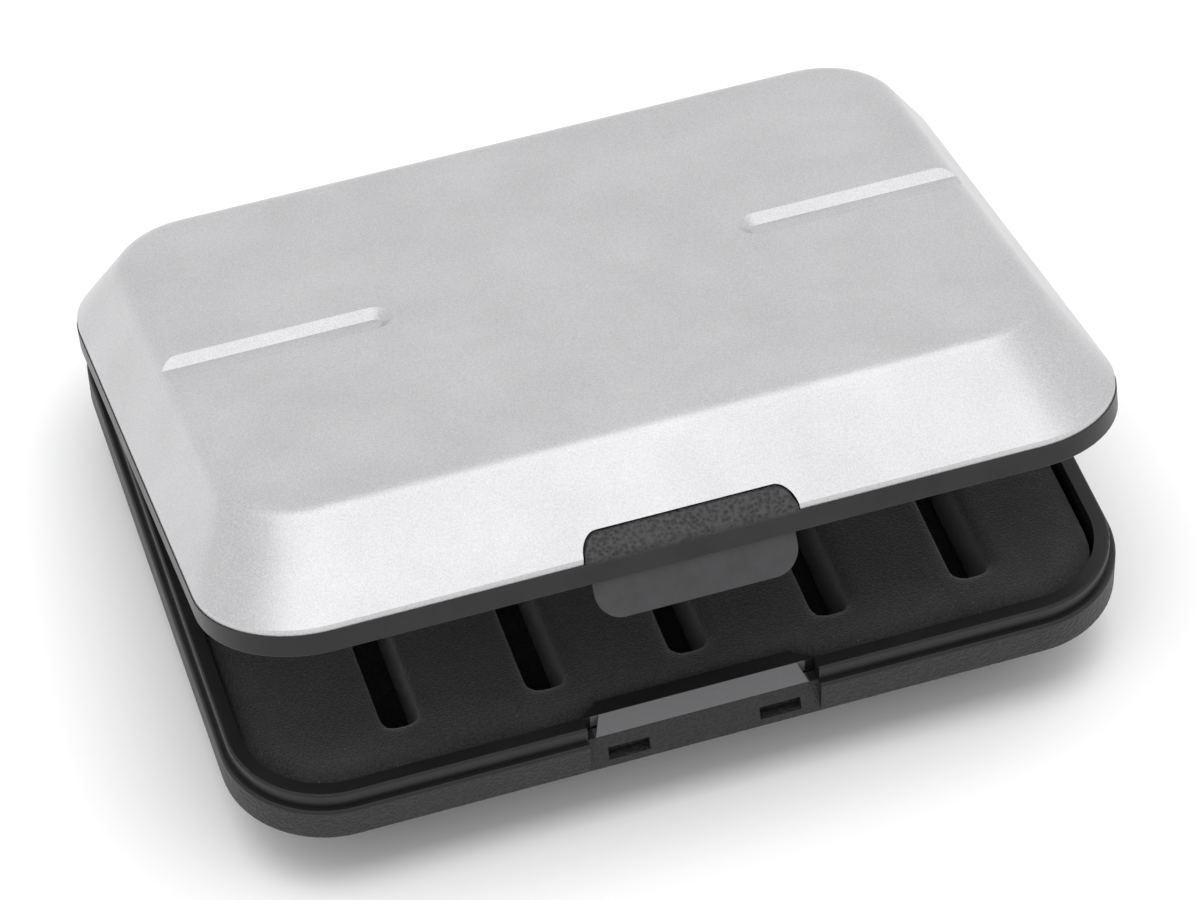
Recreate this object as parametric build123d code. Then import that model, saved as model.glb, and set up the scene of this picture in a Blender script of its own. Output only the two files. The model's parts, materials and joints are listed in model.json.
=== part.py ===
"""Broadhead case: a hinged lid over a foam-filled tray, with a snap tongue at the front.

Sizes are in millimetres. X runs across the case, the front faces -Y and Z is up. The origin is
at the centre of the underside. Everything on the lid is drawn shut and then turned about the
hinge to the angle it stands at in the photo.
"""

import math
import os

from build123d import *

# Overall outline
case_width = 140.0
case_depth = 112.5
corner_radius = 16.4
far_corner_radius = 12.0  # corner of the underside and of the lid's flat top
side_inset = 7.6  # how far the tapered walls run in, on the left and right
front_inset = 13.2
rear_inset = 10.0

# Tray
base_height = 18.2  # underside to parting plane
band_height = 5.8  # upright band below the parting plane
rim_width = 3.4  # outer wall to the inner face of the lip
shoulder_width = 1.0
lip_height = 2.7
floor_thickness = 2.0
edge_round = 0.45
crease_round = 3.0

# Catch on the tray's front wall
recess_half_width = 18.0
recess_depth = 1.6
catch_half_width = 16.6
catch_bevel_start = -0.4  # height of the bevel's lower edge above the parting plane
catch_bevel = 2.3
catch_top_depth = 2.5
catch_end_taper = 1.2
catch_web_reach = 4.7  # corner webs that run out from the catch to the lip
strike_height = 2.2  # bevel to the top of the hook pockets
hook_pocket_y = 2.0  # back of the hook pockets, behind the tray's front face
hook_pocket_height = 2.1
hook_pocket_gap = 0.4  # between a hook and its pocket, sideways

# Lid
lid_rise = 16.0  # parting plane to flat top
frame_band_height = 3.6
frame_overhang = 0.4  # lid band stands proud of the tray's band
skin_overhang = 0.2
skin_thickness = 0.8
skin_upright = 4.6  # height above the parting plane where the taper starts
skin_crease_round = 4.0
frame_web_top = 4.15
frame_ledge_width = 5.0
lip_top_clearance = 0.3
lip_side_clearance = 0.15
skin_clearance = 0.05
closing_gap = 0.05

# Pressed grooves in the lid's top
groove_floor_width = 2.6
groove_wall = 1.9  # sideways run of a groove's slanted wall
groove_depth = 1.1
groove_inner_end = 27.5
groove_y = 3.0
groove_skin_spread = 0.2  # keeps the pressed wall as thick as the skin

# Textured pad that fills the notch in the lid's front
pad_half_width = 16.2
pad_side_lean = 0.5
pad_top = 6.8
pad_corner = 3.0
pad_thickness = 2.0
pad_gap = 0.3

# Snap tongue
tongue_half_width = 15.4
tongue_thickness = 0.9
tongue_setback = 0.35  # outer face behind the tray's front face, at the parting plane
tongue_drop = 5.9  # how far it reaches below the parting plane
tongue_flare = 2.0  # how far its tip stands out from its root
tongue_corner = 4.0
tongue_side_gap = 0.15
hook_inner_x = 9.0
hook_outer_x = 14.6
hook_bite = 0.6  # how far a hook reaches under the strike
hook_height = 1.5
hook_gap = 0.15
hook_root = 0.1  # hooks start this far inside the plate
latch_pin_radius = 0.6
latch_boss_radius = 1.1
latch_pin_setback = 1.3  # behind the tray's front face
latch_pin_height = 1.4
latch_cheek = 1.9
latch_cheek_radius = 1.3
band_wall = 0.4  # lid band in front of the tongue's root
running_clearance = 0.05

# Hinges
hinge_setback = 3.0  # pin behind the tray's rear face
hinge_x = 38.0
knuckle_radius = 2.4
lid_knuckle_width = 12.0
base_knuckle_width = 6.0
knuckle_gap = 0.15
hinge_pin_radius = 1.1
hinge_heel_radius = 4.6
open_travel = 110.0
rest_angle = 15.6

# Foam
foam_gap = 0.4
foam_lift = 0.3  # clearance under each foam layer
foam_top = 1.2  # above the parting plane
backing_thickness = 3.0
foam_edge_round = 1.6
slot_count = 5
slot_pitch = 22.4
slot_shift = 1.8
slot_width = 5.6
slot_corner = 1.6
slot_half_length = 43.9
catch_notch_gap = 0.5

half_depth = case_depth / 2
parting = base_height
hinge_y = half_depth + hinge_setback
hinge_axis = Axis((0, hinge_y, parting), (1, 0, 0))
strike_y = -half_depth + recess_depth
bevel_top_y = strike_y + catch_bevel
catch_inner_y = bevel_top_y + catch_top_depth
catch_top_z = parting + catch_bevel_start + catch_bevel
catch_top_half = catch_half_width - catch_end_taper
bevel_start_z = parting + catch_bevel_start
strike_bottom_z = bevel_start_z - strike_height
strike_lean = recess_depth / (band_height + catch_bevel_start)
latch_y = -half_depth + latch_pin_setback
latch_z = parting + latch_pin_height
far = 200.0


def outline(grow, z):
    """Plan outline of the case at height z, grown outward by grow."""
    face = RectangleRounded(case_width + 2 * grow, case_depth + 2 * grow, corner_radius + grow)
    return Pos(0, 0, z) * face


def far_outline(grow, z):
    """Small outline that the tapered walls run to, grown outward by grow."""
    width = case_width - 2 * side_inset + 2 * grow
    depth = case_depth - front_inset - rear_inset + 2 * grow
    centre_y = (front_inset - rear_inset) / 2
    face = RectangleRounded(width, depth, far_corner_radius + grow)
    return Pos(0, centre_y, z) * face


def prism(grow, bottom, top):
    """Upright prism on the plan outline."""
    return extrude(outline(grow, bottom), top - bottom)


def block(x0, x1, y0, y1, z0, z1):
    """Box between two corners."""
    centre = Pos((x0 + x1) / 2, (y0 + y1) / 2, (z0 + z1) / 2)
    return centre * Box(x1 - x0, y1 - y0, z1 - z0)


def across(points, x0, x1):
    """Prism along X on a polygon of (y, z) points."""
    face = Plane.YZ * make_face(Polyline([(y, z) for y, z in points], close=True))
    return Pos(x0, 0, 0) * extrude(face, x1 - x0)


def rod(radius, y, z, x0, x1):
    """Round bar along X."""
    return Pos((x0 + x1) / 2, y, z) * Rot(0, 90, 0) * Cylinder(radius, x1 - x0)


def edges_at(solid, z):
    """Edges that lie wholly at height z."""
    return solid.edges().filter_by(lambda e: abs(e.center().Z - z) < 1e-4 and
                                   abs(e.bounding_box().size.Z) < 1e-3)


def crown(grow, near_z, far_z, bottom_z, far_grow, soft):
    """Lid shape: an upright band, then walls that lean in to a flat top, with a soft crease."""
    band = prism(grow, bottom_z, near_z)
    lean = loft([outline(grow, near_z), far_outline(far_grow, far_z)], ruled=True)
    if soft > 0:
        lean = fillet(edges_at(lean, far_z), soft)
    return band + lean


def knuckle(profile_points, x0, x1):
    """Hinge knuckle: a barrel and the gusset that joins it to the wall."""
    return rod(knuckle_radius, hinge_y, parting, x0, x1) + across(profile_points, x0, x1)


def knuckle_spans(side):
    """X spans of a hinge's lid knuckle and its two tray knuckles, on one side of the case."""
    centre = side * hinge_x
    half = lid_knuckle_width / 2
    lid_span = (centre - half, centre + half)
    inner = half + knuckle_gap
    outer = inner + base_knuckle_width
    return lid_span, [(centre - outer, centre - inner), (centre + inner, centre + outer)]


def hinge_pin(side):
    """Steel pin through one hinge."""
    reach = lid_knuckle_width / 2 + knuckle_gap + base_knuckle_width
    return rod(hinge_pin_radius, hinge_y, parting, side * hinge_x - reach, side * hinge_x + reach)


def strike_y_at(z):
    """The strike leans out downward, from the bevel to the band's lower edge."""
    return strike_y - strike_lean * (bevel_start_z - z)


def catch():
    """Strike block at the front, with a bevelled nose that the tongue's hooks ride over."""
    nose = [
        (strike_y, bevel_start_z),
        (bevel_top_y, catch_top_z),
        (catch_inner_y, catch_top_z),
        (catch_inner_y, parting - band_height),
        (strike_y + rim_width / 2, parting - band_height),
    ]
    body = across(nose, -catch_half_width, catch_half_width)
    for side in (-1, 1):
        outer = side * (catch_half_width + 1)
        end = side * catch_top_half
        wedge = make_face(Polyline([
            (side * catch_half_width, strike_y), (outer, strike_y), (outer, catch_inner_y + 1),
            (end, catch_inner_y + 1), (end, bevel_top_y)], close=True))
        body -= Pos(0, 0, parting - band_height - 1) * extrude(wedge, far)
        web = make_face(Polyline([
            (side * (catch_top_half - 1), catch_inner_y),
            (side * (catch_top_half - 1), bevel_top_y),
            (side * (recess_half_width + 0.2), bevel_top_y),
            (side * (catch_top_half + catch_web_reach), -half_depth + rim_width - 0.4)],
            close=True))
        height = catch_top_z - (parting - band_height)
        body += Pos(0, 0, parting - band_height) * extrude(web, height)
    return body


def base_tray():
    """Moulded tray: band, tapered lower walls, lip, catch and hinge knuckles."""
    band = prism(0, parting - band_height, parting)
    band = fillet(edges_at(band, parting), edge_round)
    lower = loft([far_outline(0, 0), outline(0, parting - band_height)], ruled=True)
    lower = fillet(edges_at(lower, 0), crease_round)
    lip = prism(-shoulder_width, parting - 1, parting + lip_height)
    lip = fillet(edges_at(lip, parting + lip_height), edge_round)
    body = band + lower + lip
    cavity = loft([far_outline(-rim_width, 0), outline(-rim_width, parting - band_height)], ruled=True)
    cavity -= block(-far, far, -far, far, -1, floor_thickness)
    cavity += prism(-rim_width, parting - band_height, parting + lip_height + 1)
    body -= cavity
    front = -half_depth
    recess = across([
        (front - 1, parting + lip_height + 1), (strike_y, parting + lip_height + 1),
        (strike_y, bevel_start_z), (front, parting - band_height),
        (front - 1, parting - band_height)], -recess_half_width, recess_half_width)
    recess += block(-recess_half_width, recess_half_width, front - 1, strike_y + rim_width,
                    bevel_start_z, parting + lip_height + 1)
    body -= recess
    body += catch()
    for side in (-1, 1):
        x0, x1 = sorted((side * (hook_inner_x - hook_pocket_gap),
                         side * (hook_outer_x + hook_pocket_gap)))
        body -= block(x0, x1, front - 1, front + hook_pocket_y,
                      strike_bottom_z - hook_pocket_height, strike_bottom_z)
    gusset = [
        (half_depth - 0.5, parting),
        (hinge_y, parting),
        (hinge_y + knuckle_radius * math.sin(math.radians(45)),
         parting - knuckle_radius * math.cos(math.radians(45))),
        (half_depth - 0.5, parting - band_height + 0.6),
    ]
    for side in (-1, 1):
        _, spans = knuckle_spans(side)
        for x0, x1 in spans:
            body += knuckle(gusset, x0, x1)
        body -= hinge_pin(side)
    return body


def lid_heel():
    """Heel polygon on a lid knuckle that meets the tray's rear wall when the lid is fully open."""
    lean = math.degrees(math.asin(hinge_setback / hinge_heel_radius))
    corner = math.radians(90 + lean - open_travel)
    foot = math.radians(180 - open_travel)
    reach = hinge_setback - closing_gap
    return [
        (hinge_y, parting),
        (hinge_y + hinge_heel_radius * math.cos(corner),
         parting - hinge_heel_radius * math.sin(corner)),
        (hinge_y + reach * math.cos(foot), parting - reach * math.sin(foot)),
    ]


def pad_outline(grow, bottom):
    """Front outline of the textured pad, drawn on the XZ plane and grown by grow."""
    top = parting + pad_top + grow
    low = pad_half_width + grow
    high = low - pad_side_lean
    face = Plane.XZ * make_face(Polyline([
        (-low, bottom), (low, bottom), (high, top), (-high, top)], close=True))
    solid = Pos(0, -half_depth + 8, 0) * extrude(face, 12)
    corners = solid.edges().filter_by(Axis.Y).group_by(Axis.Z)[-1]
    return fillet(corners, pad_corner)


def lid_shell(grow, drop, soft):
    """Solid bounded by the lid's outer surface, moved in by drop on the leaning walls and top."""
    return crown(grow, parting + skin_upright - drop * 0.4, parting + lid_rise - drop,
                 parting + frame_band_height, grow - drop * 0.3, soft)


def lid_frame():
    """Plastic ring under the lid's metal skin, with the pad, the latch pocket and hinge knuckles."""
    bottom = parting + closing_gap
    top = parting + frame_band_height
    web_bottom = parting + lip_height + lip_top_clearance
    body = prism(frame_overhang, bottom, top)
    body = fillet(edges_at(body, bottom), 0.3)
    body += prism(skin_overhang - skin_thickness - skin_clearance, top, parting + frame_web_top)
    body -= prism(-(shoulder_width - lip_side_clearance), bottom - 1, web_bottom)
    body -= prism(-frame_ledge_width, bottom - 1, parting + lid_rise)
    pad = pad_outline(0, top - 0.2) & (lid_shell(frame_overhang, 0, 0)
                                       - lid_shell(frame_overhang - pad_thickness, pad_thickness, 0))
    body += pad
    pocket_half = tongue_half_width + tongue_side_gap
    wall_y = -half_depth - frame_overhang + band_wall
    body -= block(-pocket_half, pocket_half, wall_y, -half_depth + frame_ledge_width + 1,
                  bottom - 1, latch_z + latch_boss_radius + closing_gap)
    for side in (-1, 1):
        x0, x1 = sorted((side * pocket_half, side * (pocket_half + latch_cheek)))
        cheek = rod(latch_cheek_radius, latch_y, latch_z, x0, x1)
        cheek += block(x0, x1, -half_depth, latch_y + latch_cheek_radius, latch_z, web_bottom + 0.5)
        body += cheek
    body -= rod(latch_pin_radius, latch_y, latch_z, -pocket_half - latch_cheek,
                pocket_half + latch_cheek)
    arm = [
        (half_depth - 0.3, parting + closing_gap),
        (hinge_y, parting + closing_gap),
        (hinge_y, parting + knuckle_radius),
        (half_depth - 0.3, parting + frame_band_height - 0.3),
    ]
    for side in (-1, 1):
        (x0, x1), _ = knuckle_spans(side)
        body += knuckle(arm, x0, x1) + across(lid_heel(), x0, x1)
        body -= rod(hinge_pin_radius + running_clearance, hinge_y, parting, x0, x1)
    return body


def groove_cut(drop, spread):
    """Solids of the two pressed grooves with slanted walls, lowered by drop, widened by spread."""
    floor_z = parting + lid_rise - groove_depth - drop
    cuts = []
    for side in (-1, 1):
        levels = []
        for step in (0, 2):
            half = groove_floor_width / 2 + spread + step * groove_wall
            inner_end = groove_inner_end + (1 - step) * groove_wall - spread
            length = case_width - inner_end
            face = RectangleRounded(length, 2 * half, half - 0.1)
            centre = Pos(side * (inner_end + length / 2), groove_y, floor_z + step * groove_depth)
            levels.append(centre * face)
        cuts.append(loft(levels, ruled=True))
    return cuts[0] + cuts[1]


def lid_skin():
    """Pressed metal skin with two grooves and a notch for the pad."""
    outer = lid_shell(skin_overhang, 0, skin_crease_round) - groove_cut(0, 0)
    inner = lid_shell(skin_overhang - skin_thickness, skin_thickness, 0)
    inner -= groove_cut(skin_thickness, groove_skin_spread)
    return outer - inner - pad_outline(pad_gap, parting + frame_band_height - 1)


def latch_tongue():
    """Snap tongue: a flared plate with rounded lower corners, a pivot boss and two hooks."""
    root_y = -half_depth + tongue_setback
    inner_y = root_y + tongue_thickness
    bottom = parting - tongue_drop
    lean = tongue_flare / tongue_drop
    plate = across([
        (root_y, latch_z), (root_y, parting), (root_y - tongue_flare, bottom),
        (inner_y - tongue_flare, bottom), (inner_y, parting), (inner_y, latch_z),
    ], -tongue_half_width, tongue_half_width)
    face = Plane.XZ * (Pos(0, bottom + 10) * Rectangle(2 * tongue_half_width, 20))
    shape = Pos(0, -half_depth + 8, 0) * extrude(face, 16)
    shape = fillet(shape.edges().filter_by(Axis.Y).group_by(Axis.Z)[0], tongue_corner)
    plate = plate & shape
    body = plate + rod(latch_boss_radius, latch_y, latch_z, -tongue_half_width, tongue_half_width)
    hook_top = strike_bottom_z - hook_gap
    tip_y = strike_y_at(hook_top) + hook_bite
    face_y = inner_y - lean * (parting - hook_top) - hook_root
    low_y = inner_y - lean * (parting - hook_top + hook_height) - hook_root
    for side in (-1, 1):
        x0, x1 = sorted((side * hook_inner_x, side * hook_outer_x))
        body += across([
            (face_y, hook_top), (tip_y, hook_top), (tip_y, hook_top - 0.5),
            (low_y, hook_top - hook_height)], x0, x1)
    return body - rod(latch_pin_radius + running_clearance, latch_y, latch_z, -far, far)


def latch_pin():
    """Steel pin that the tongue turns on."""
    reach = tongue_half_width + tongue_side_gap + latch_cheek
    return rod(latch_pin_radius, latch_y, latch_z, -reach, reach)


def foam_backing():
    """Foam sheet on the tray's floor."""
    taper = floor_thickness / (parting - band_height)
    grow = -rim_width - foam_gap
    width = case_width - 2 * side_inset * (1 - taper) + 2 * grow
    depth = case_depth - (front_inset + rear_inset) * (1 - taper) + 2 * grow
    centre_y = (front_inset - rear_inset) * (1 - taper) / 2
    sheet = RectangleRounded(width, depth, far_corner_radius - rim_width)
    return Pos(0, centre_y, floor_thickness + foam_lift) * extrude(sheet, backing_thickness)


def foam_insert():
    """Slotted foam that fills the tray, pressed to its tapered walls, with a notch for the catch."""
    grow = -rim_width - foam_gap
    top = parting + foam_top
    lower = loft([far_outline(grow, 0), outline(grow, parting - band_height)], ruled=True)
    lower -= block(-far, far, -far, far, -1, floor_thickness + backing_thickness + 2 * foam_lift)
    upper = prism(grow, parting - band_height, top)
    upper = fillet(edges_at(upper, top), foam_edge_round)
    body = lower + upper
    notch_half = catch_top_half + catch_web_reach + catch_notch_gap
    notch = make_face(Polyline([
        (-notch_half, -half_depth), (notch_half, -half_depth),
        (notch_half, -half_depth + rim_width + catch_notch_gap),
        (catch_top_half, catch_inner_y + catch_notch_gap),
        (-catch_top_half, catch_inner_y + catch_notch_gap),
        (-notch_half, -half_depth + rim_width + catch_notch_gap)], close=True))
    body -= Pos(0, 0, parting - band_height - 4) * extrude(notch, far)
    for index in range(slot_count):
        x = slot_shift + (index - (slot_count - 1) / 2) * slot_pitch
        slot = RectangleRounded(slot_width, 2 * slot_half_length, slot_corner)
        body -= Pos(x, 0, 0) * extrude(slot, far)
    return body


def at_rest(solid):
    """Turns a piece of the lid from shut to the angle it stands at in the photo."""
    return solid.rotate(hinge_axis, -rest_angle)


nodes = {
    "base_tray": base_tray(),
    "foam_backing": foam_backing(),
    "foam_insert": foam_insert(),
    "hinge_pin_left": hinge_pin(-1),
    "hinge_pin_right": hinge_pin(1),
    "lid_frame": at_rest(lid_frame()),
    "lid_skin": at_rest(lid_skin()),
    "latch_pin": at_rest(latch_pin()),
    "latch_tongue": at_rest(latch_tongue()),
}

os.makedirs("parts", exist_ok=True)
for name, solid in nodes.items():
    export_step(solid, f"parts/{name}.step")
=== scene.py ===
import json
import math

import bmesh
import bpy
from bpy.props import FloatProperty, FloatVectorProperty, IntProperty, PointerProperty
from mathutils import Matrix, Vector, noise


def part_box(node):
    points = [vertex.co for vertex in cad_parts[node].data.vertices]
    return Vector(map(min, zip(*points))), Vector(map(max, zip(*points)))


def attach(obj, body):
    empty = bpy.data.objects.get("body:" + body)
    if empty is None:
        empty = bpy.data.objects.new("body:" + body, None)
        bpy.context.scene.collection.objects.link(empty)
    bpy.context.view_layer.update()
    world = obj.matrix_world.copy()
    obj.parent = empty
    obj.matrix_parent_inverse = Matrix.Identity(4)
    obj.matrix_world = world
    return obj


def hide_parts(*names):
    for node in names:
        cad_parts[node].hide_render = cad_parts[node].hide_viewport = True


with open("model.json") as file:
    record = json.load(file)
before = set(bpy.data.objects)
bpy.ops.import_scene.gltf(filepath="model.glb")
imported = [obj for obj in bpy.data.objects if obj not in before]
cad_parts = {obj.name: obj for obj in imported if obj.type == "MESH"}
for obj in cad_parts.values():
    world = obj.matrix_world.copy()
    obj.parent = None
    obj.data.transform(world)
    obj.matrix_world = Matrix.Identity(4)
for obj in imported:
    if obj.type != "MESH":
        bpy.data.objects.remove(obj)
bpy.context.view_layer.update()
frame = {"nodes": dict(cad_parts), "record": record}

bl_info = {
    "name": "Broadhead case",
    "version": (1, 0, 0),
    "blender": (4, 5, 0),
    "location": "3D View > Sidebar > Case",
    "description": "Dresses the packed broadhead case: finishes, foam and a plain studio",
    "category": "Object",
}

MM = 0.001
HINGE = next(joint for joint in frame["record"]["behaviour"]["joints"] if joint["name"] == "lid_hinge")
SLOTS = [opening["box_m"] for opening in frame["record"]["physics"]["openings"]
         if opening["name"].startswith("slot")]
# Painted highlight: the catch's bevel is painted paler for the light it catches
BEVEL_HIGHLIGHT_COLOUR = (0.13, 0.13, 0.135)
DUST_COLOUR = (0.10, 0.10, 0.098)

# Foam, in metres
FOAM_CORNER = 12.6 * MM
FOAM_BEND = 12.4 * MM  # height where the foam starts to lean in
SIDE_INSET = 7.6 * MM
FRONT_INSET = 13.2 * MM
REAR_INSET = 10.0 * MM
NOTCH_DEPTH = 3.0 * MM
NOTCH_OUTER = 20.6 * MM
NOTCH_INNER = 15.6 * MM
SLOT_HALF_WIDTH = 2.9 * MM
SLOT_REACH = 43.9 * MM
SLOT_CORNER = 1.8 * MM
SHEET_CORNER = 8.6 * MM
SHEET_EDGE = 0.6 * MM

# Camera, from the fit to the photo
CAMERA_LENS = 154.53
CAMERA_RIGHT = (0.95226304, -0.30416545, -0.02604766)
CAMERA_UP = (0.24206005, 0.70031921, 0.67153551)
CAMERA_PLACE = (-0.1468740, -0.5150103, 0.6079835)
LAMP_SIZE = (1.1, 0.8)
OVERHEAD_HEIGHT = 1.2
GLEAM_HEIGHT = 1.0


class CaseFinishSettings(bpy.types.PropertyGroup):
    """Colours and surface grain of the case."""
    metal: FloatVectorProperty(
        name="Lid metal", description="Colour of the pressed lid skin", subtype="COLOR",
        default=(0.55, 0.55, 0.56))
    metal_grain: FloatProperty(
        name="Metal grain", description="Width of one grain in the metal's finish", unit="LENGTH",
        default=0.26 * MM, precision=5)
    plastic: FloatVectorProperty(
        name="Moulded plastic", description="Colour of the tray and the lid frame", subtype="COLOR",
        default=(0.0095, 0.0095, 0.010))
    plastic_grain: FloatProperty(
        name="Plastic grain", description="Width of one bump of the moulded grain", unit="LENGTH",
        default=0.55 * MM, precision=5)
    tongue: FloatVectorProperty(
        name="Snap tongue", description="Colour of the smooth snap tongue", subtype="COLOR",
        default=(0.030, 0.030, 0.032))
    steel: FloatVectorProperty(
        name="Pins", description="Colour of the steel pins", subtype="COLOR",
        default=(0.58, 0.57, 0.55))
    foam: FloatVectorProperty(
        name="Foam", description="Colour of the foam", subtype="COLOR",
        default=(0.018, 0.018, 0.019))


class CaseFoamSettings(bpy.types.PropertyGroup):
    """Shape of the foam insert."""
    mesh_step: FloatProperty(
        name="Mesh step", description="Size of the foam mesh's cells", unit="LENGTH",
        default=0.85 * MM, precision=5)
    edge_roll: FloatProperty(
        name="Edge roll", description="How far the foam's rim rolls down", unit="LENGTH",
        default=1.1 * MM, precision=5)
    edge_width: FloatProperty(
        name="Roll width", description="Width of the rolled rim", unit="LENGTH",
        default=4.0 * MM, precision=5)
    smoothing: IntProperty(
        name="Smoothing", description="Rounds of smoothing on cut edges", default=4, min=0, max=20)
    waviness: FloatProperty(
        name="Waviness", description="Height of the foam's slow unevenness", unit="LENGTH",
        default=0.14 * MM, precision=5)


class CaseStageSettings(bpy.types.PropertyGroup):
    """Lights and floor."""
    key: FloatProperty(
        name="Overhead light", description="Power of the large soft light above", unit="POWER",
        default=5.5)
    gleam: FloatProperty(
        name="Gleam", description="Power of the light that shows in the metal", unit="POWER",
        default=2.5)
    ambient: FloatProperty(
        name="Ambient", description="Strength of the even light from all round", default=0.80)
    floor: FloatVectorProperty(
        name="Floor", description="Colour of the floor", subtype="COLOR",
        default=(0.93, 0.93, 0.93))


def finish():
    return bpy.context.scene.case_finish


class Shader:
    """A node material with its Principled shader, built up by short calls."""

    def __init__(self, name, colour, roughness, metallic=0.0):
        self.material = bpy.data.materials.new(name)
        self.material.use_nodes = True
        self.tree = self.material.node_tree
        self.surface = self.tree.nodes["Principled BSDF"]
        self.surface.inputs["Base Color"].default_value = (*colour, 1.0)
        self.surface.inputs["Roughness"].default_value = roughness
        self.surface.inputs["Metallic"].default_value = metallic
        self.coordinates = self.node("ShaderNodeTexCoord").outputs["Object"]

    def node(self, kind, **settings):
        made = self.tree.nodes.new(kind)
        for key, value in settings.items():
            setattr(made, key, value)
        return made

    def link(self, source, target):
        self.tree.links.new(source, target)

    def noise(self, width, detail=3.0, roughness=0.55, source=None):
        made = self.node("ShaderNodeTexNoise")
        made.inputs["Scale"].default_value = 1.0 / width
        made.inputs["Detail"].default_value = detail
        made.inputs["Roughness"].default_value = roughness
        self.link(source or self.coordinates, made.inputs["Vector"])
        return made.outputs["Fac"]

    def cells(self, width, feature="SMOOTH_F1", source=None):
        made = self.node("ShaderNodeTexVoronoi", feature=feature)
        made.inputs["Scale"].default_value = 1.0 / width
        self.link(source or self.coordinates, made.inputs["Vector"])
        return made.outputs["Distance"]

    def spread(self, value, low, high, out_low=0.0, out_high=1.0):
        made = self.node("ShaderNodeMapRange")
        for key, number in (("From Min", low), ("From Max", high),
                            ("To Min", out_low), ("To Max", out_high)):
            made.inputs[key].default_value = number
        self.link(value, made.inputs["Value"])
        return made.outputs["Result"]

    def maths(self, operation, first, second):
        made = self.node("ShaderNodeMath", operation=operation)
        for socket, value in zip(made.inputs, (first, second)):
            if isinstance(value, (int, float)):
                socket.default_value = value
            else:
                self.link(value, socket)
        return made.outputs["Value"]

    def blend_colours(self, factor, first, second):
        made = self.node("ShaderNodeMix", data_type="RGBA")
        self.link(factor, made.inputs["Factor"])
        for key, value in (("A", first), ("B", second)):
            if isinstance(value, tuple):
                made.inputs[key].default_value = (*value, 1.0)
            else:
                self.link(value, made.inputs[key])
        return made.outputs["Result"]

    def colour(self, value):
        self.link(value, self.surface.inputs["Base Color"])

    def roughness(self, value):
        self.link(value, self.surface.inputs["Roughness"])

    def bump(self, height, depth, strength=1.0):
        made = self.node("ShaderNodeBump")
        made.inputs["Strength"].default_value = strength
        made.inputs["Distance"].default_value = depth
        self.link(height, made.inputs["Height"])
        self.link(made.outputs["Normal"], self.surface.inputs["Normal"])

    def shut_frame(self):
        """Coordinates of the lid's pieces as if the lid were shut."""
        turn = math.radians(-HINGE["range_deg"][0])
        pivot = Vector(HINGE["pos_m"])
        made = self.node("ShaderNodeMapping", vector_type="POINT")
        made.inputs["Rotation"].default_value = (turn, 0.0, 0.0)
        made.inputs["Location"].default_value = pivot - Matrix.Rotation(turn, 3, "X") @ pivot
        self.link(self.coordinates, made.inputs["Vector"])
        return made.outputs["Vector"]

    def axis(self, vector, name):
        made = self.node("ShaderNodeSeparateXYZ")
        self.link(vector, made.inputs["Vector"])
        return made.outputs[name]


def scaled(colour, factor):
    """A lighter or darker version of a colour."""
    return tuple(min(1.0, channel * factor) for channel in colour)


def metal_finish():
    """Silver skin: bead-blasted grain with small bright flakes and faint slow clouding."""
    settings = finish()
    shader = Shader("lid_metal", settings.metal, 0.36, metallic=0.92)
    grain = shader.noise(settings.metal_grain, detail=2.0, roughness=0.7)
    clouds = shader.noise(14 * MM, detail=2.0)
    tone = shader.maths("ADD", shader.spread(grain, 0.3, 0.7, -0.5, 0.5),
                        shader.spread(clouds, 0.3, 0.7, -0.12, 0.12))
    tone = shader.spread(tone, -0.6, 0.6)
    metal = tuple(settings.metal)
    shader.colour(shader.blend_colours(tone, scaled(metal, 0.80), scaled(metal, 1.18)))
    shader.roughness(shader.spread(grain, 0.25, 0.75, 0.33, 0.48))
    shader.bump(grain, 0.02 * MM, 0.35)
    return shader.material


def moulded_grain(shader, grain_width, source=None):
    """Height of the spark-eroded grain on the moulded plastic."""
    cells = shader.cells(grain_width, source=source)
    fine = shader.noise(grain_width * 0.6, detail=2.0, source=source)
    return shader.maths("ADD", shader.spread(cells, 0.1, 0.7), shader.maths("MULTIPLY", fine, 0.7))


def catch_bevel_highlight(shader):
    """Mask of the catch's bevel, which is painted paler than the rest as a painted highlight for the
    light it catches.
    """
    parting = HINGE["pos_m"][2]
    height = shader.axis(shader.coordinates, "Z")
    side = shader.maths("ABSOLUTE", shader.axis(shader.coordinates, "X"), 0.0)
    depth = shader.axis(shader.coordinates, "Y")
    mask = shader.spread(height, parting - 0.42 * MM, parting - 0.36 * MM)
    for value, edge in ((height, parting + 1.83 * MM), (side, 16.7 * MM), (depth, -52.3 * MM)):
        mask = shader.maths("MULTIPLY", mask, shader.spread(value, edge, edge + 0.06 * MM, 1.0, 0.0))
    return mask


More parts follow.
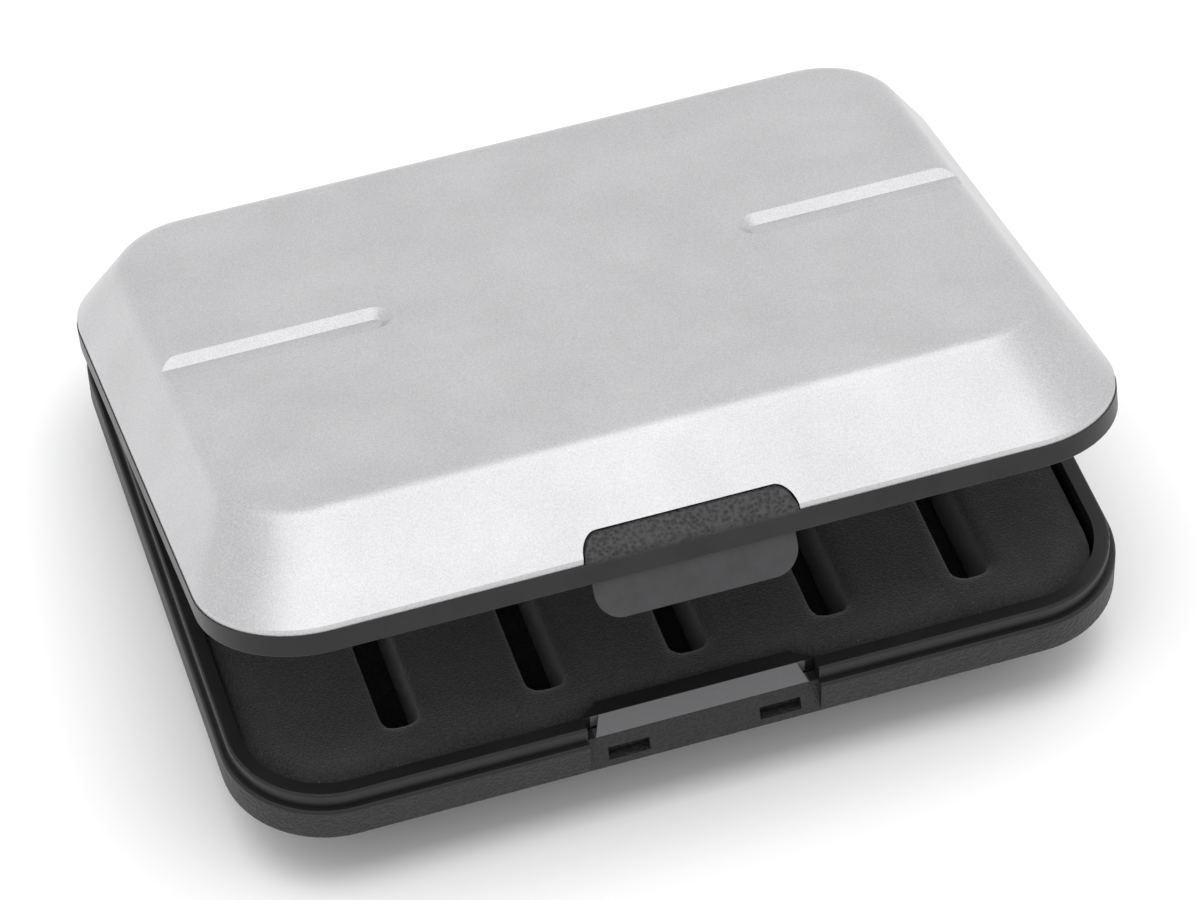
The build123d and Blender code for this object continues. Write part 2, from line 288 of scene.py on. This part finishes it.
def tray_finish():
    """Black plastic, grained on the outside below the shoulder and smooth on the lip and catch, with a
    painted highlight on the catch's bevel.
    """
    settings = finish()
    plastic = tuple(settings.plastic)
    shader = Shader("tray_plastic", plastic, 0.5)
    shader.surface.inputs["Specular IOR Level"].default_value = 0.32
    height = shader.axis(shader.coordinates, "Z")
    parting = HINGE["pos_m"][2]
    mask = shader.spread(height, parting - 0.55 * MM, parting - 0.25 * MM, 1.0, 0.0)
    grain = moulded_grain(shader, settings.plastic_grain)
    handling = shader.noise(9 * MM, detail=3.0)
    tone = shader.maths("ADD", shader.maths("MULTIPLY", shader.spread(grain, 0.4, 1.3), mask),
                        shader.spread(handling, 0.3, 0.7, 0.0, 0.25))
    moulded = shader.blend_colours(tone, plastic, scaled(plastic, 2.1))
    # The catch's bevel gets a painted highlight, a paler colour for the light it catches, and a little
    # less roughness
    bevel = catch_bevel_highlight(shader)
    shader.colour(shader.blend_colours(bevel, moulded, BEVEL_HIGHLIGHT_COLOUR))
    rough = shader.maths("ADD", shader.maths("MULTIPLY", mask, 0.14),
                         shader.spread(handling, 0.3, 0.7, 0.30, 0.38))
    shader.roughness(shader.maths("SUBTRACT", rough, shader.maths("MULTIPLY", bevel, 0.08)))
    fine = shader.noise(0.12 * MM, detail=1.0)
    height = shader.maths("ADD", shader.maths("MULTIPLY", grain, mask),
                          shader.maths("MULTIPLY", fine, 0.05))
    shader.bump(height, 0.16 * MM, 0.8)
    return shader.material


def frame_finish():
    """Black plastic of the lid's frame: satin band, grained pad."""
    settings = finish()
    plastic = tuple(settings.plastic)
    shader = Shader("frame_plastic", plastic, 0.4)
    shader.surface.inputs["Specular IOR Level"].default_value = 0.32
    shut = shader.shut_frame()
    parting = HINGE["pos_m"][2]
    above = shader.spread(shader.axis(shut, "Z"), parting + 3.2 * MM, parting + 3.9 * MM)
    side = shader.maths("ABSOLUTE", shader.axis(shut, "X"), 0.0)
    inside = shader.spread(side, 16.0 * MM, 17.2 * MM, 1.0, 0.0)
    mask = shader.maths("MULTIPLY", above, inside)
    grain = moulded_grain(shader, settings.plastic_grain, source=shut)
    handling = shader.noise(8 * MM, detail=3.0, source=shut)
    tone = shader.maths("ADD", shader.maths("MULTIPLY", shader.spread(grain, 0.4, 1.3), mask),
                        shader.spread(handling, 0.3, 0.7, 0.0, 0.25))
    shader.colour(shader.blend_colours(tone, plastic, scaled(plastic, 5.0)))
    rough = shader.maths("ADD", shader.maths("MULTIPLY", mask, 0.12),
                         shader.spread(handling, 0.3, 0.7, 0.33, 0.42))
    shader.roughness(rough)
    fine = shader.noise(0.15 * MM, detail=1.0, source=shut)
    height = shader.maths("ADD", shader.maths("MULTIPLY", grain, mask),
                          shader.maths("MULTIPLY", fine, 0.08))
    shader.bump(height, 0.16 * MM, 0.8)
    return shader.material


def tongue_finish():
    """Smooth satin plastic of the snap tongue, faintly scuffed."""
    settings = finish()
    colour = tuple(settings.tongue)
    shader = Shader("tongue_plastic", colour, 0.42)
    scuffs = shader.noise(3 * MM, detail=5.0, roughness=0.7)
    shader.colour(shader.blend_colours(shader.spread(scuffs, 0.35, 0.75), colour, scaled(colour, 1.5)))
    shader.roughness(shader.spread(scuffs, 0.3, 0.7, 0.36, 0.47))
    shader.bump(shader.noise(0.14 * MM, detail=1.0), 0.012 * MM, 0.5)
    return shader.material


def steel_finish():
    """Ground steel, with its marks running round the pins."""
    settings = finish()
    steel = tuple(settings.steel)
    shader = Shader("pin_steel", steel, 0.28, metallic=1.0)
    stretch = shader.node("ShaderNodeMapping")
    stretch.inputs["Scale"].default_value = (8.0, 1.0, 1.0)
    shader.link(shader.coordinates, stretch.inputs["Vector"])
    marks = shader.noise(1.0 * MM, detail=2.0, source=stretch.outputs["Vector"])
    shader.colour(shader.blend_colours(marks, scaled(steel, 0.8), scaled(steel, 1.1)))
    shader.roughness(shader.spread(marks, 0.3, 0.7, 0.2, 0.36))
    return shader.material


def foam_finish():
    """Charcoal foam: open cells, a paler skin on the cell walls and a little dust."""
    settings = finish()
    foam = tuple(settings.foam)
    shader = Shader("foam", foam, 0.95)
    shader.surface.inputs["Specular IOR Level"].default_value = 0.25
    shader.surface.inputs["Sheen Weight"].default_value = 0.35
    shader.surface.inputs["Sheen Roughness"].default_value = 0.5
    cells = shader.cells(0.34 * MM, feature="F1")
    small = shader.noise(0.25 * MM, detail=3.0, roughness=0.7)
    cloud = shader.noise(11 * MM, detail=2.0)
    mix = shader.maths("ADD", shader.spread(cells, 0.1, 0.65, 0.0, 0.7),
                       shader.spread(small, 0.35, 0.75, 0.0, 0.45))
    mix = shader.maths("ADD", mix, shader.spread(cloud, 0.3, 0.7, -0.12, 0.12))
    base = shader.blend_colours(mix, scaled(foam, 0.45), scaled(foam, 2.3))
    dust = shader.cells(1.5 * MM, feature="F1")
    dust = shader.spread(dust, 0.05, 0.10, 1.0, 0.0)
    shader.colour(shader.blend_colours(dust, base, DUST_COLOUR))
    height = shader.maths("ADD", shader.maths("MULTIPLY", cells, -0.9), small)
    shader.bump(height, 0.2 * MM, 0.6)
    return shader.material


def dress(node, material):
    """Gives a carried CAD node its material."""
    for slot in frame["nodes"][node].material_slots:
        slot.material = material


def mesh_object(name, bm):
    """A new object at the origin that holds the bmesh."""
    mesh = bpy.data.meshes.new(name)
    bm.to_mesh(mesh)
    bm.free()
    made = bpy.data.objects.new(name, mesh)
    bpy.context.scene.collection.objects.link(made)
    return made


def rounded_patch(bm, corners, radii, z):
    """Adds a flat face on the corner points, with rounded corners."""
    points = [bm.verts.new((x, y, z)) for x, y in corners]
    bm.faces.new(points)
    for point, radius in zip(points, radii):
        if radius > 0:
            bmesh.ops.bevel(bm, geom=[point], offset=radius, offset_type="OFFSET", segments=8,
                            profile=0.5, affect="VERTICES", material=-1, clamp_overlap=True)


def outline_edges(corners, radii):
    """Points round a closed outline with rounded corners."""
    bm = bmesh.new()
    rounded_patch(bm, corners, radii, 0.0)
    bm.faces.ensure_lookup_table()
    ring = [tuple(vert.co[:2]) for vert in bm.faces[0].verts]
    bm.free()
    return ring


def add_ring(bm, ring, z):
    """Adds a closed wire ring and returns its edges."""
    verts = [bm.verts.new((x, y, z)) for x, y in ring]
    return [bm.edges.new((verts[i], verts[(i + 1) % len(verts)])) for i in range(len(verts))]


def apply_modifiers(obj):
    """Bakes an object's modifiers into its mesh."""
    graph = bpy.context.evaluated_depsgraph_get()
    shaped = bpy.data.meshes.new_from_object(obj.evaluated_get(graph))
    old = obj.data
    obj.modifiers.clear()
    obj.data = shaped
    bpy.data.meshes.remove(old)


def foam_outline():
    """Corner points and radii of the foam's top, with the notch for the catch."""
    low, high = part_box("foam_insert")
    notch_y = low[1] + NOTCH_DEPTH
    outer, inner = NOTCH_OUTER, NOTCH_INNER
    corners = [(low[0], low[1]), (-outer, low[1]), (-inner, notch_y), (inner, notch_y),
               (outer, low[1]), (high[0], low[1]), (high[0], high[1]), (low[0], high[1])]
    radii = [FOAM_CORNER, 1.6 * MM, 1.2 * MM, 1.2 * MM, 1.6 * MM] + [FOAM_CORNER] * 3
    return corners, radii


def foam_block():
    """Closed foam block with its slots, straight at the top and leaning in below."""
    low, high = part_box("foam_insert")
    corners, radii = foam_outline()
    outer = outline_edges(corners, radii)
    rings = [outer]
    for box in SLOTS:
        centre = (box[0][0] + box[1][0]) / 2
        left, right = centre - SLOT_HALF_WIDTH, centre + SLOT_HALF_WIDTH
        slot = [(left, -SLOT_REACH), (right, -SLOT_REACH), (right, SLOT_REACH), (left, SLOT_REACH)]
        rings.append(outline_edges(slot, [SLOT_CORNER] * 4))
    bm = bmesh.new()
    edges = []
    for ring in rings:
        edges += add_ring(bm, ring, high[2])
    filled = bmesh.ops.triangle_fill(bm, edges=edges, use_beauty=True, use_dissolve=False)
    top = [item for item in filled["geom"] if isinstance(item, bmesh.types.BMFace)]
    bend = FOAM_BEND
    outer_points = {(round(x, 7), round(y, 7)) for x, y in outer}
    level = bmesh.ops.extrude_face_region(bm, geom=top, use_keep_orig=True)
    lower = [item for item in level["geom"] if isinstance(item, bmesh.types.BMVert)]
    bmesh.ops.translate(bm, verts=lower, vec=(0, 0, bend - high[2]))
    faces = [item for item in level["geom"] if isinstance(item, bmesh.types.BMFace)]
    level = bmesh.ops.extrude_face_region(bm, geom=faces)
    bottom = [item for item in level["geom"] if isinstance(item, bmesh.types.BMVert)]
    bmesh.ops.translate(bm, verts=bottom, vec=(0, 0, low[2] - bend))
    share = (bend - low[2]) / bend
    for vert in bottom:
        if (round(vert.co.x, 7), round(vert.co.y, 7)) in outer_points:
            vert.co.x -= math.copysign(SIDE_INSET * share, vert.co.x) * min(1.0, abs(vert.co.x) / 0.05)
            run = FRONT_INSET if vert.co.y < 0 else REAR_INSET
            vert.co.y -= math.copysign(run * share, vert.co.y) * min(1.0, abs(vert.co.y) / 0.04)
    bmesh.ops.recalc_face_normals(bm, faces=bm.faces)
    return mesh_object("foam_slotted", bm)


def rim_distance(x, y, low, high):
    """Distance from a point to the foam's rounded outer rim, without the notch."""
    radius = FOAM_CORNER
    dx = max(low[0] + radius - x, x - (high[0] - radius), 0.0)
    dy = max(low[1] + radius - y, y - (high[1] - radius), 0.0)
    if dx > 0 and dy > 0:
        return radius - math.hypot(dx, dy)
    return min(x - low[0], high[0] - x, y - low[1], high[1] - y)


class CASE_OT_lid_skin(bpy.types.Operator):
    """Gives the pressed lid skin its silver finish"""
    bl_idname = "case.lid_skin"
    bl_label = "Lid skin"

    def execute(self, context):
        dress("lid_skin", metal_finish())
        return {"FINISHED"}


class CASE_OT_mouldings(bpy.types.Operator):
    """Gives the tray, the lid frame and the snap tongue their plastics"""
    bl_idname = "case.mouldings"
    bl_label = "Mouldings"

    def execute(self, context):
        dress("base_tray", tray_finish())
        dress("lid_frame", frame_finish())
        dress("latch_tongue", tongue_finish())
        return {"FINISHED"}


class CASE_OT_pins(bpy.types.Operator):
    """Gives the hinge pins and the tongue's pin their steel"""
    bl_idname = "case.pins"
    bl_label = "Pins"

    def execute(self, context):
        steel = steel_finish()
        for node in ("hinge_pin_left", "hinge_pin_right", "latch_pin"):
            dress(node, steel)
        return {"FINISHED"}


class CASE_OT_foam(bpy.types.Operator):
    """Models the slotted foam and the sheet under it"""
    bl_idname = "case.foam"
    bl_label = "Foam"

    def execute(self, context):
        settings = context.scene.case_foam
        material = foam_finish()
        block = foam_block()
        remesh = block.modifiers.new("cells", "REMESH")
        remesh.mode = "VOXEL"
        remesh.voxel_size = settings.mesh_step
        apply_modifiers(block)
        self.soften(block, settings)
        block.data.materials.append(material)
        for polygon in block.data.polygons:
            polygon.use_smooth = True
        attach(block, "tray")
        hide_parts("foam_insert")
        sheet = self.backing()
        sheet.data.materials.append(material)
        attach(sheet, "tray")
        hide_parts("foam_backing")
        return {"FINISHED"}

    def soften(self, block, settings):
        """Rounds the cut edges, rolls the rim down and adds a slow unevenness."""
        low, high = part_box("foam_insert")
        bm = bmesh.new()
        bm.from_mesh(block.data)
        for _ in range(settings.smoothing):
            bmesh.ops.smooth_vert(bm, verts=bm.verts, factor=0.5, use_axis_x=True,
                                  use_axis_y=True, use_axis_z=True)
        for vert in bm.verts:
            height = max(0.0, min(1.0, (vert.co.z - FOAM_BEND) / (high[2] - FOAM_BEND)))
            near = max(0.0, 1.0 - rim_distance(vert.co.x, vert.co.y, low, high) / settings.edge_width)
            vert.co.z -= settings.edge_roll * near * near * height
            wave = noise.noise(vert.co * 90.0) + 0.5 * noise.noise(vert.co * 260.0)
            vert.co.z += min(0.0, settings.waviness * (wave - 0.5)) * height
        bm.to_mesh(block.data)
        bm.free()

    def backing(self):
        """Thin foam sheet at the bottom of the slots, with softened edges."""
        low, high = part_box("foam_backing")
        bm = bmesh.new()
        corners = [(low[0], low[1]), (high[0], low[1]), (high[0], high[1]), (low[0], high[1])]
        rounded_patch(bm, corners, [SHEET_CORNER] * 4, low[2])
        level = bmesh.ops.extrude_face_region(bm, geom=bm.faces[:], use_keep_orig=True)
        lifted = [item for item in level["geom"] if isinstance(item, bmesh.types.BMVert)]
        bmesh.ops.translate(bm, verts=lifted, vec=(0, 0, high[2] - low[2]))
        bmesh.ops.recalc_face_normals(bm, faces=bm.faces)
        rims = [edge for edge in bm.edges if abs(edge.verts[0].co.z - edge.verts[1].co.z) < 1e-6]
        bmesh.ops.bevel(bm, geom=rims, offset=SHEET_EDGE, segments=3, profile=0.5, affect="EDGES",
                        material=-1)
        return mesh_object("foam_sheet", bm)


class CASE_OT_stage(bpy.types.Operator):
    """Sets the camera, the soft lights and the pale floor"""
    bl_idname = "case.stage"
    bl_label = "Studio"

    def execute(self, context):
        settings = context.scene.case_stage
        self.camera(context)
        self.lights(context, settings)
        self.floor(settings)
        context.scene.view_settings.view_transform = "Standard"
        return {"FINISHED"}

    def camera(self, context):
        data = bpy.data.cameras.new("camera")
        data.sensor_fit = "HORIZONTAL"
        data.sensor_width = 36.0
        data.lens = CAMERA_LENS
        data.clip_start = 0.05
        data.clip_end = 20.0
        camera = bpy.data.objects.new("camera", data)
        context.scene.collection.objects.link(camera)
        right, up = Vector(CAMERA_RIGHT), Vector(CAMERA_UP)
        back = right.cross(up)
        turn = Matrix((right, up, back)).transposed().to_4x4()
        camera.matrix_world = Matrix.Translation(CAMERA_PLACE) @ turn
        context.scene.camera = camera

    def lights(self, context, settings):
        world = bpy.data.worlds.new("studio")
        context.scene.world = world
        world.use_nodes = True
        nodes, links = world.node_tree.nodes, world.node_tree.links
        background = nodes["Background"]
        background.inputs["Color"].default_value = (1.0, 1.0, 1.0, 1.0)
        path = nodes.new("ShaderNodeLightPath")
        seen = nodes.new("ShaderNodeMath")
        seen.operation = "MAXIMUM"
        links.new(path.outputs["Is Camera Ray"], seen.inputs[0])
        links.new(path.outputs["Is Glossy Ray"], seen.inputs[1])
        through = nodes.new("ShaderNodeMath")
        through.operation = "MAXIMUM"
        links.new(seen.outputs["Value"], through.inputs[0])
        links.new(path.outputs["Is Transmission Ray"], through.inputs[1])
        level = nodes.new("ShaderNodeMapRange")
        level.inputs["To Min"].default_value = settings.ambient
        level.inputs["To Max"].default_value = 1.0
        links.new(through.outputs["Value"], level.inputs["Value"])
        links.new(level.outputs["Result"], background.inputs["Strength"])
        for name, power, height in (("overhead", settings.key, OVERHEAD_HEIGHT),
                                    ("gleam", settings.gleam, GLEAM_HEIGHT)):
            data = bpy.data.lights.new(name, "AREA")
            data.shape = "RECTANGLE"
            data.size, data.size_y = LAMP_SIZE
            data.energy = power
            lamp = bpy.data.objects.new(name, data)
            lamp.location = (0.0, -0.05, height)
            lamp.visible_glossy = name == "gleam"
            context.scene.collection.objects.link(lamp)

    def floor(self, settings):
        bm = bmesh.new()
        bmesh.ops.create_grid(bm, x_segments=2, y_segments=2, size=3.0)
        floor = mesh_object("floor", bm)
        shader = Shader("floor", settings.floor, 0.9)
        floor.data.materials.append(shader.material)


class CASE_PT_panel(bpy.types.Panel):
    """Lists the case's operators and their settings"""
    bl_label = "Broadhead case"
    bl_idname = "CASE_PT_panel"
    bl_space_type = "VIEW_3D"
    bl_region_type = "UI"
    bl_category = "Case"

    def draw(self, context):
        for group, keys in ((context.scene.case_finish, CaseFinishSettings.__annotations__),
                            (context.scene.case_foam, CaseFoamSettings.__annotations__),
                            (context.scene.case_stage, CaseStageSettings.__annotations__)):
            box = self.layout.box()
            for key in keys:
                box.prop(group, key)
        for operator in STEPS:
            self.layout.operator(operator.bl_idname)


GROUPS = (CaseFinishSettings, CaseFoamSettings, CaseStageSettings)
STEPS = (CASE_OT_lid_skin, CASE_OT_mouldings, CASE_OT_pins, CASE_OT_foam, CASE_OT_stage)


def register():
    for kind in (*GROUPS, *STEPS, CASE_PT_panel):
        bpy.utils.register_class(kind)
    bpy.types.Scene.case_finish = PointerProperty(type=CaseFinishSettings)
    bpy.types.Scene.case_foam = PointerProperty(type=CaseFoamSettings)
    bpy.types.Scene.case_stage = PointerProperty(type=CaseStageSettings)


def unregister():
    del bpy.types.Scene.case_stage
    del bpy.types.Scene.case_foam
    del bpy.types.Scene.case_finish
    for kind in reversed((*GROUPS, *STEPS, CASE_PT_panel)):
        bpy.utils.unregister_class(kind)


def main():
    register()
    for step in STEPS:
        group, name = step.bl_idname.split(".")
        getattr(getattr(bpy.ops, group), name)()


if __name__ == "__main__":
    main()
